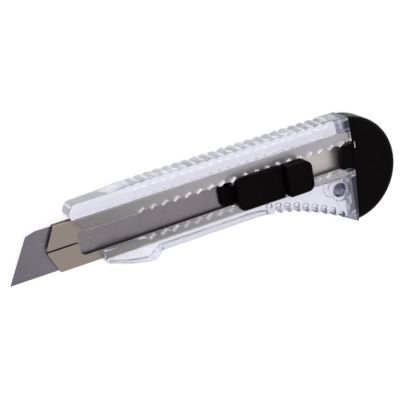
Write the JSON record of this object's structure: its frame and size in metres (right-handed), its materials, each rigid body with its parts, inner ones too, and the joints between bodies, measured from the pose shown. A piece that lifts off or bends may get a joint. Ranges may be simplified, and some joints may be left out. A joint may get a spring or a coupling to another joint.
{
  "type": "snap-off utility knife",
  "caption": "Snap-off utility knife: clear toothed handle, folded steel sheath, scored blade, black slider with a lock button, push-on end cap.",
  "frame": {"origin": "on the flat back of the handle, half way along the clear body, on the blade's centre line", "axes": "+X from the blade's tip towards the end cap, +Y towards the spine, +Z out of the front face where the slider is"},
  "size_m": [0.1696, 0.0463, 0.0188],
  "materials": {
    "clear_plastic": "clear, polished mould finish",
    "sheath_steel": "rolled sheet, satin",
    "blade_steel": "ground, lightly oiled",
    "slider_black": "fine satin mould finish",
    "carrier_black": "satin",
    "spring_steel": "bright strip",
    "cap_black": "smooth, soft gloss"
  },
  "bodies": {
    "handle": {"handle_body": "clear_plastic", "blade_sheath": "sheath_steel"},
    "carriage": {"snap_blade": "blade_steel", "blade_carrier": "carrier_black", "thumb_slider": "slider_black", "lock_spring": "spring_steel"},
    "lock": {"lock_button": "slider_black"},
    "cap": {"end_cap": "cap_black"}
  },
  "joints": [
    {"name": "blade_slide", "type": "slide", "parent": "handle", "child": "carriage", "axis": [-1, 0, 0], "range_m": [-0.02, 0.04]},
    {"name": "lock_press", "type": "slide", "parent": "carriage", "child": "lock", "axis": [-1, 0, 0], "range_m": [-0.0005, 0.0005], "stiffness_N_per_m": 300},
    {"name": "cap_pull", "type": "slide", "parent": "handle", "child": "cap", "axis": [1, 0, 0], "range_m": [0, 0.025]}
  ]
}
